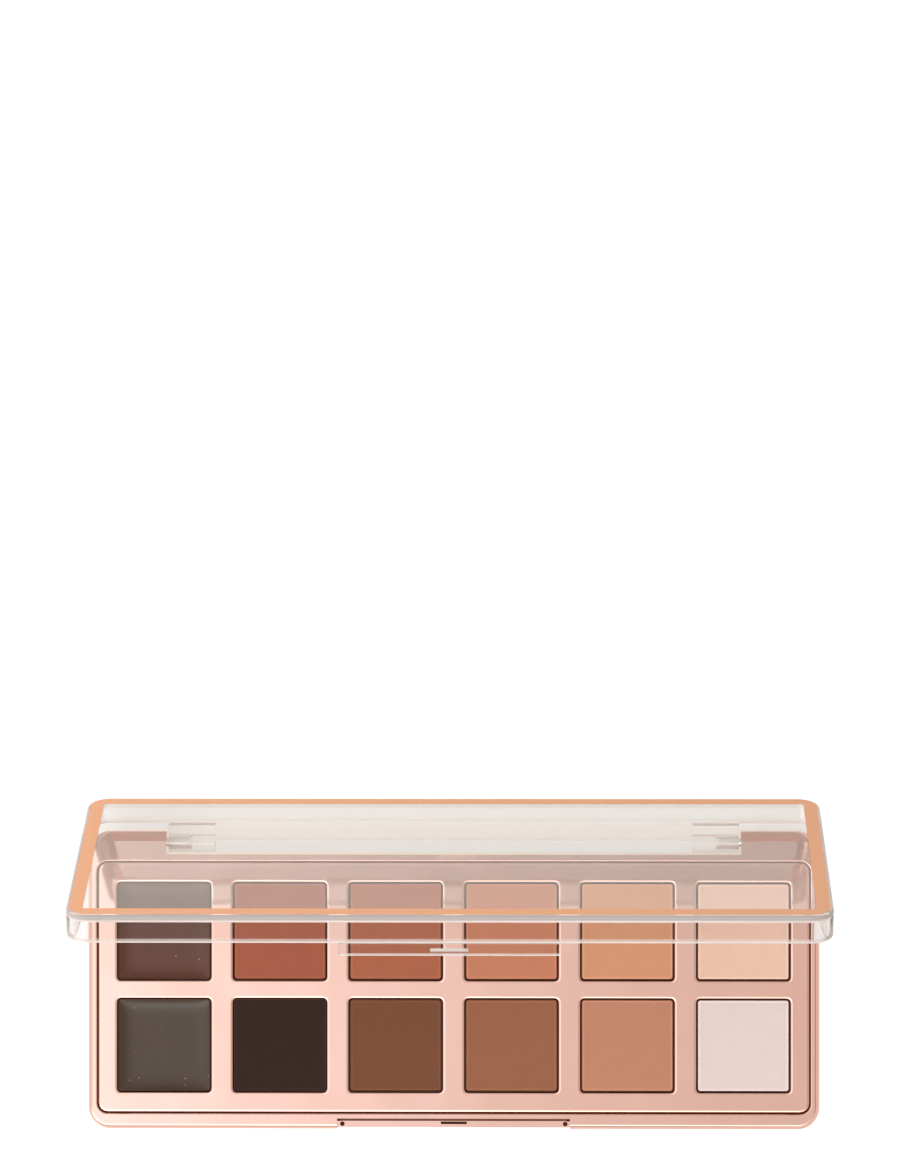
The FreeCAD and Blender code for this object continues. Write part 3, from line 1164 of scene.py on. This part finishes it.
@dataclass
class Tray:
    """The plated tray: soft crowned strips between its windows, and a well under each window."""

    grid: PanGrid = field(default_factory=PanGrid)
    window_gap: float = 0.15 * MM
    window_corner: float = 0.7 * MM
    outer_corner: float = 1.6 * MM
    edge_round: float = 0.15 * MM
    crown: float = 0.05 * MM
    crown_width: float = 0.4 * MM
    window_shares: tuple[float, ...] = (0.08, 0.2, 0.35, 0.5, 0.65, 0.8)
    outer_shares: tuple[float, ...] = (0.25, 0.6, 0.8)
    round_corner_share: float = 0.85
    seam_share: float = 0.1
    plate: float = 1.3 * MM
    well_wall: float = 0.55 * MM
    well_floor: float = 0.8 * MM
    side_points: int = 24
    round_steps: int = 6
    sharp_angle: float = 35.0
    edge_margin: float = 0.01 * MM
    skirt_margin: float = 0.005 * MM

    def __post_init__(self) -> None:
        """Takes the places of the plate and its windows from the frame."""
        self.low, self.high = span("pan_tray")
        self.middle = Vector(((self.low.x + self.high.x) / 2, (self.low.y + self.high.y) / 2))
        self.half = Vector(((self.high.x - self.low.x) / 2, (self.high.y - self.low.y) / 2))
        self.first = (self.grid.first_low + self.grid.first_high) / 2
        self.half_window = self.grid.side / 2 + self.window_gap

    def build(self) -> None:
        """Makes the tray in place of its solid and dresses the glue below the pans."""
        mesh = bpy.data.meshes.new("plated_tray")
        work = bmesh.new()
        for column in range(self.grid.columns):
            for row in range(self.grid.rows):
                self.cell(work, column, row)
        bmesh.ops.remove_doubles(work, verts=work.verts[:], dist=MERGE_DISTANCE)
        bmesh.ops.recalc_face_normals(work, faces=work.faces[:])
        for face in work.faces:
            face.smooth = True
        work.to_mesh(mesh)
        work.free()
        mesh.set_sharp_from_angle(angle=math.radians(self.sharp_angle))
        mesh.materials.append(RoseGoldPlating().material())
        settle(added("plated_tray", mesh), Body.BASE, ["pan_tray"])
        dress("glue_dots", SetGlue())

    def cell(self, work: bmesh.types.BMesh, column: int, row: int) -> None:
        """Adds the part of the tray round one window.

        Args:
            work: Mesh to add to.
            column: Column of the window, from 0.
            row: Row of the window, from 0 at the front.
        """
        grid = self.grid
        middle = Vector((self.first.x + column * grid.column_pitch, self.first.y + row * grid.row_pitch))
        outer = Edge(
            middle.x - self.low.x if column == 0 else grid.column_pitch / 2,
            self.high.x - middle.x if column == grid.columns - 1 else grid.column_pitch / 2,
            middle.y - self.low.y if row == 0 else grid.row_pitch / 2,
            self.high.y - middle.y if row == grid.rows - 1 else grid.row_pitch / 2)
        window = Edge(*[self.half_window] * 4)
        # Up from the well's floor, over the window's round edge and across to the cell's own outline.
        loops = [self.flat_loop(middle, window, self.window_corner, self.low.z + self.well_floor)]
        turns = [self.edge_round * (1 - math.cos(math.pi / 2 * step / self.round_steps))
                 for step in range(self.round_steps + 1)]
        for away in turns + self.beyond(self.window_shares):
            loops.append(self.top_loop(middle, window.grown(away), self.window_corner + away))
        for away in reversed(turns + self.beyond(self.outer_shares)):
            loops.append(self.top_loop(middle, self.drawn_in(middle, outer, away), self.outer_corner - away))
        # Under the plate, and down the outside of the well.
        below = self.high.z - self.plate
        well = window.grown(self.well_wall)
        well_corner = self.window_corner + self.well_wall
        brim = self.flat_loop(middle, outer, self.outer_corner, below)
        under = [brim, self.flat_loop(middle, well, well_corner, below),
                 self.flat_loop(middle, well, well_corner, self.low.z)]
        self.bridge(work, loops)
        self.bridge(work, under)
        self.skirt(work, loops[-1], brim)
        for closing in (loops[0], under[-1]):
            work.faces.new([work.verts.new(point) for point in closing])

    def beyond(self, shares: tuple[float, ...]) -> list[float]:
        """Distances past the round edge, at shares of the crown's width."""
        return [self.edge_round + share * self.crown_width for share in shares]

    def drawn_in(self, middle: Vector, outer: Edge, away: float) -> Edge:
        """Moves a cell's outline in, fully where it lies on the tray's own edge and slightly elsewhere.

        Args:
            middle: Middle of the cell's window.
            outer: The cell's outline.
            away: How far the sides on the tray's edge move in.

        Returns:
            The new outline.
        """
        gaps = (middle.x - outer.left - self.low.x, middle.x + outer.right - self.high.x,
                middle.y - outer.front - self.low.y, middle.y + outer.back - self.high.y)
        return Edge(*[side - away * (1.0 if abs(gap) < self.edge_margin else self.seam_share)
                      for side, gap in zip(outer, gaps)])

    def outline(self, middle: Vector, edge: Edge, corner: float) -> list[Vector]:
        """Lays points round a rounded outline, crowded at its corners.

        Args:
            middle: Middle of the window.
            edge: Distances to the outline's sides.
            corner: Radius of the outline's corners.

        Returns:
            The points, anticlockwise, as many for any outline.
        """
        count = self.side_points
        steps = [math.sin(math.pi / 2 * (2 * step / count - 1)) for step in range(count)]
        square = [(1.0, step) for step in steps]
        square += [(-step, 1.0) for step in steps]
        square += [(-1.0, -step) for step in steps]
        square += [(step, -1.0) for step in steps]
        points = []
        for across, along in square:
            wide = edge.right if across > 0 else edge.left
            deep = edge.back if along > 0 else edge.front
            at = Vector((across * wide, along * deep))
            turn = corner if self.has_corner(middle, edge, across > 0, along > 0) else 0.0
            kept = Vector((self.held(at.x, wide - turn), self.held(at.y, deep - turn)))
            out = at - kept
            points.append(middle + kept + (out.normalized() * turn if turn else out))
        return points

    def has_corner(self, middle: Vector, edge: Edge, right: bool, back: bool) -> bool:
        """Tells whether an outline's corner is rounded, as round a window and at the tray's own corners.

        Args:
            middle: Middle of the window.
            edge: Distances to the outline's sides.
            right: Whether the corner is on the right.
            back: Whether the corner is at the back.

        Returns:
            True where it is rounded.
        """
        across = edge.right if right else -edge.left
        along = edge.back if back else -edge.front
        limit = self.half_window + self.edge_round + self.round_corner_share * self.crown_width
        near_window = max(abs(across), abs(along)) < limit
        edge_x = self.high.x if right else self.low.x
        edge_y = self.high.y if back else self.low.y
        near_edge = max(abs(middle.x + across - edge_x), abs(middle.y + along - edge_y)) < self.outer_corner
        return near_window or near_edge

    def held(self, value: float, limit: float) -> float:
        """A value kept within a limit on both sides of nothing."""
        return max(-limit, min(limit, value))

    def flat_loop(self, middle: Vector, edge: Edge, corner: float, height: float) -> list[Point]:
        """An outline's points at one height."""
        return [(at.x, at.y, height) for at in self.outline(middle, edge, corner)]

    def top_loop(self, middle: Vector, edge: Edge, corner: float) -> list[Point]:
        """An outline's points on the crowned top of the plate."""
        return [(at.x, at.y, self.top_height(middle, at)) for at in self.outline(middle, edge, corner)]

    def top_height(self, middle: Vector, at: Vector) -> float:
        """Finds the height of the plate's top at a point.

        Args:
            middle: Middle of the nearest window.
            at: The point.

        Returns:
            The height, lower towards the window and the plate's edge.
        """
        window = Vector((self.half_window, self.half_window))
        away = min(self.distance(at - middle, window, self.window_corner),
                   -self.distance(at - self.middle, self.half, self.outer_corner))
        away = max(away, 0.0)
        bend = max(0.0, 1 - away / self.edge_round)
        slope = max(0.0, 1 - away / self.crown_width)
        drop = self.edge_round * (1 - math.sqrt(1 - min(bend, 1.0) ** 2))
        return self.high.z - self.crown * slope ** 2 - drop

    def distance(self, at: Vector, half: Vector, corner: float) -> float:
        """Measures how far a point lies outside a rounded rectangle about the origin.

        Args:
            at: The point.
            half: Half the rectangle's lengths.
            corner: Radius of its corners.

        Returns:
            The distance, below nothing inside.
        """
        over = Vector((abs(at.x) - half.x + corner, abs(at.y) - half.y + corner))
        outside = Vector((max(over.x, 0.0), max(over.y, 0.0))).length
        return outside + min(max(over.x, over.y), 0.0) - corner

    def bridge(self, work: bmesh.types.BMesh, loops: list[list[Point]]) -> None:
        """Adds the faces between outlines that follow one another.

        Args:
            work: Mesh to add to.
            loops: The outlines, with equally many points.
        """
        rows = [[work.verts.new(point) for point in loop] for loop in loops]
        for inner, outer in zip(rows, rows[1:]):
            for index in range(len(inner)):
                after = (index + 1) % len(inner)
                work.faces.new((inner[index], inner[after], outer[after], outer[index]))

    def skirt(self, work: bmesh.types.BMesh, top: list[Point], brim: list[Point]) -> None:
        """Adds the plate's side where an outline lies on the tray's own edge.

        Args:
            work: Mesh to add to.
            top: The outline at the plate's top.
            brim: The outline at the plate's underside.
        """
        outside = [self.distance(Vector(point).xy - self.middle, self.half, self.outer_corner)
                   for point in top]
        on_edge = [away > -self.skirt_margin for away in outside]
        for index in range(len(top)):
            after = (index + 1) % len(top)
            if on_edge[index] and on_edge[after]:
                corners = (top[index], top[after], brim[after], brim[index])
                work.faces.new([work.verts.new(point) for point in corners])


@dataclass
class Base:
    """The plated base shell, with the bare label under it."""

    plating: Finish = RoseGoldPlating()
    paper: Finish = LabelPaper()

    def dress(self) -> None:
        """Dresses the shell and the label."""
        dress("base_shell", self.plating)
        dress("base_label", self.paper)


@dataclass
class Hinge:
    """The two short pins that the lid turns on."""

    steel: Finish = PlainMetal("pin_steel", (0.86, 0.85, 0.84), 0.18)

    def dress(self) -> None:
        """Dresses the pins."""
        for side in ("left", "right"):
            dress(f"hinge_pin_{side}", self.steel)


@dataclass
class Lid:
    """The clear lid, with its foil border."""

    plastic: Finish = ClearPlastic()
    foil: Finish = CopperFoil()

    def dress(self) -> None:
        """Dresses the moulding and the foil."""
        dress("clear_lid", self.plastic)
        dress("lid_foil_border", self.foil)


def facing(eye: Point, aim: Point, top: Point = (0.0, 1.0, 0.0)) -> Euler:
    """Turns a lamp or camera towards a point.

    Args:
        eye: Where it stands.
        aim: The point that it faces.
        top: The direction that its upper edge leans to.

    Returns:
        The turn as Euler angles.
    """
    back = (Vector(eye) - Vector(aim)).normalized()
    right = Vector(top).cross(back).normalized()
    return Matrix((right, back.cross(right), back)).transposed().to_euler()


@dataclass
class Studio:
    """White floor, soft light from the left and a camera straight above the picture's middle.

    Metal sees surroundings of its own: each ramp is a brightness that changes with one part of the
    unit vector towards them.
    """

    eye: Point = (0.0141, 0.0680, 0.8777)
    aim: Point = (-0.0006, 0.0681, 0.0080)
    lens: float = 154.3
    clip: tuple[float, float] = (0.01, 50.0)
    bounces: int = 32
    lamp_at: Point = (-0.62, -0.32, 0.85)
    lamp_size: tuple[float, float] = (0.8, 1.0)
    lamp_power: float = 6.0
    floor_size: float = 6.0
    floor_grey: float = 0.42
    floor_glow: float = 0.80
    floor_glow_in_lid: float = 0.53
    floor_glow_in_metal: float = 1.2
    floor_fall_in_metal: Ramp = Ramp(-0.3, -80 * MM, 80 * MM)
    floor_drop: float = 0.02 * MM
    contact: float = 0.3 * MM
    floor_white: Colour = (1.0, 0.99, 0.98)
    floor_mirrored: Colour = (1.02, 0.865, 0.64)
    left_tint: Colour = (0.95, 1.0, 1.03)
    right_tint: Colour = (1.0, 0.96, 0.92)
    far_tint: Colour = (1.0, 0.62, 0.45)
    white: Colour = (1.0, 1.0, 1.0)
    overhead: float = 0.81
    left_half: Ramp = Ramp(0.18, -0.06, 0.04)
    left_lamp: Ramp = Ramp(0.6, 0.0, 0.13)
    left_lamp_end: Ramp = Ramp(-0.55, 0.14, 0.4)
    front_lamp: Ramp = Ramp(1.25, 0.10, 0.30)
    front_lamp_rim: Ramp = Ramp(1.8, 0.31, 0.36)
    front_lamp_right: Ramp = Ramp(-0.3, -0.03, 0.06)
    back_shade: Ramp = Ramp(-0.80, 0.12, 0.5)
    right_shade: Ramp = Ramp(-0.70, 0.06, 0.4)
    front_shade: Ramp = Ramp(-0.93, 0.46, 0.58)
    wall: float = 0.76
    wall_left: Ramp = Ramp(0.14, -0.4, 0.7)
    wall_front: Ramp = Ramp(0.14, -0.4, 0.7)
    wall_start: tuple[float, float] = (0.62, 0.86)
    wall_nearer: Ramp = Ramp(0.34, 0.0, 0.2)
    lid_dimming: float = 0.24
    even: float = 0.91
    even_right: Ramp = Ramp(-0.22, -0.7, 0.7)
    tint_steps: tuple[float, float] = (-0.08, 0.12)

    def build(self) -> None:
        """Makes the floor, the lamp, the surroundings and the camera."""
        self.floor()
        self.surroundings()
        self.softbox()
        self.camera()
        scene = bpy.context.scene
        scene.view_settings.view_transform = "Standard"
        scene.cycles.max_bounces = self.bounces
        scene.cycles.transmission_bounces = self.bounces

    def floor(self) -> None:
        """Makes a pale floor just under the palette."""
        half = self.floor_size / 2
        down = -self.floor_drop
        mesh = bpy.data.meshes.new("floor")
        corners = [(-half, -half, down), (half, -half, down), (half, half, down), (-half, half, down)]
        mesh.from_pydata(corners, [], [(0, 1, 2, 3)])
        mesh.materials.append(self.floor_material())
        added("floor", mesh)

    def floor_material(self) -> bpy.types.Material:
        """Makes a floor that the camera sees as white, and that is open from below and to short rays.

        Returns:
            The material.
        """
        material = bpy.data.materials.new("floor_white")
        graph = fresh_graph(material)
        seen = graph.ray("Camera")
        passed = graph.ray("Transmission")
        mirrored = graph.ray("Glossy") * (1.0 - passed)
        across, _, _ = graph.axes(place(graph))
        in_metal = self.floor_glow_in_lid * (self.floor_glow_in_metal + self.floor_fall_in_metal.of(across))
        unseen = self.floor_glow_in_lid * passed + in_metal * mirrored
        glow = graph.output("ShaderNodeEmission", None, {
            "Color": graph.blend(mirrored, self.floor_white, self.floor_mirrored),
            "Strength": self.floor_glow * seen + unseen * (1.0 - seen)})
        matte = graph.diffuse((self.floor_grey, self.floor_grey, self.floor_grey))
        both = graph.output("ShaderNodeAddShader", None, {0: matte, 1: glow})
        far = graph.value("ShaderNodeLightPath", "Ray Length").step(self.contact, 2 * self.contact)
        from_below = graph.value("ShaderNodeNewGeometry", "Backfacing")
        clear = graph.output("ShaderNodeBsdfTransparent")
        surface = graph.mixed((1.0 - far).most(from_below), both, clear)
        graph.node("ShaderNodeOutputMaterial", None, {"Surface": surface})
        return material

    def surroundings(self) -> None:
        """Makes pale surroundings, brightest for metal overhead and darker at the back and right."""
        world = bpy.data.worlds.new("studio")
        bpy.context.scene.world = world
        graph = fresh_graph(world)
        right, back, _ = graph.axes(graph.node("ShaderNodeTexCoord").outputs["Generated"])
        front = -back
        left = -right
        seen = graph.ray("Camera")
        mirrored = graph.ray("Glossy")
        # Overhead, with a lamp on the left, one at the front, and shade farther out.
        left_light = self.left_half.of(left) + self.left_lamp.of(left) + self.left_lamp_end.of(left)
        overhead = self.overhead + left_light
        front_light = self.front_lamp.of(front) + self.front_lamp_rim.of(front)
        front_light = front_light * (1.0 + self.front_lamp_right.of(right))
        shade = (1.0 + self.back_shade.of(back)) * (1.0 + self.right_shade.of(right))
        dimmed = shade * (1.0 + self.front_shade.of(front))
        # Pale walls near the horizon.
        from_top = (right * right + back * back).root() + self.wall_nearer.of(back.most(right))
        horizon = from_top.step(*self.wall_start)
        wall = self.wall + self.wall_left.of(left) + self.wall_front.of(front)
        above = (overhead + front_light) * dimmed
        in_metal = (above + (wall - above) * horizon) * (1.0 - self.lid_dimming * graph.ray("Transmission"))
        # An even light for all rays that aren't mirrored.
        level = mirrored * in_metal + (1.0 - mirrored) * (self.even + self.even_right.of(right))
        side = left.step(*self.tint_steps) * (1.0 - horizon)
        lamp_tint = graph.blend(side, self.right_tint, self.left_tint)
        metal_tint = graph.blend((1.0 - dimmed) * (1.0 - horizon), lamp_tint, self.far_tint)
        sky = graph.output("ShaderNodeBackground", None, {
            "Color": graph.blend(mirrored, self.white, metal_tint),
            "Strength": seen + level * (1.0 - seen)})
        graph.node("ShaderNodeOutputWorld", None, {"Surface": sky})

    def softbox(self) -> None:
        """Adds an area lamp on the left that faces the palette, unseen by metal."""
        lamp = bpy.data.lights.new("softbox_left", "AREA")
        lamp.shape = "RECTANGLE"
        lamp.size, lamp.size_y = self.lamp_size
        lamp.energy = self.lamp_power
        made = added("softbox_left", lamp)
        made.location = self.lamp_at
        made.rotation_euler = facing(self.lamp_at, (0.0, 0.0, 0.0))
        made.visible_glossy = False

    def camera(self) -> None:
        """Adds the camera."""
        data = bpy.data.cameras.new("camera")
        data.lens = self.lens
        data.clip_start, data.clip_end = self.clip
        made = added("camera", data)
        made.location = self.eye
        made.rotation_euler = facing(self.eye, self.aim)
        bpy.context.scene.camera = made


def main() -> None:
    """Builds the palette and sets up the studio."""
    logging.basicConfig(level=logging.INFO, format="%(message)s")
    Studio().build()
    Base().dress()
    Tray().build()
    Pans().build()
    Fillings().build()
    Hinge().dress()
    Lid().dress()


if __name__ == "__main__":
    main()
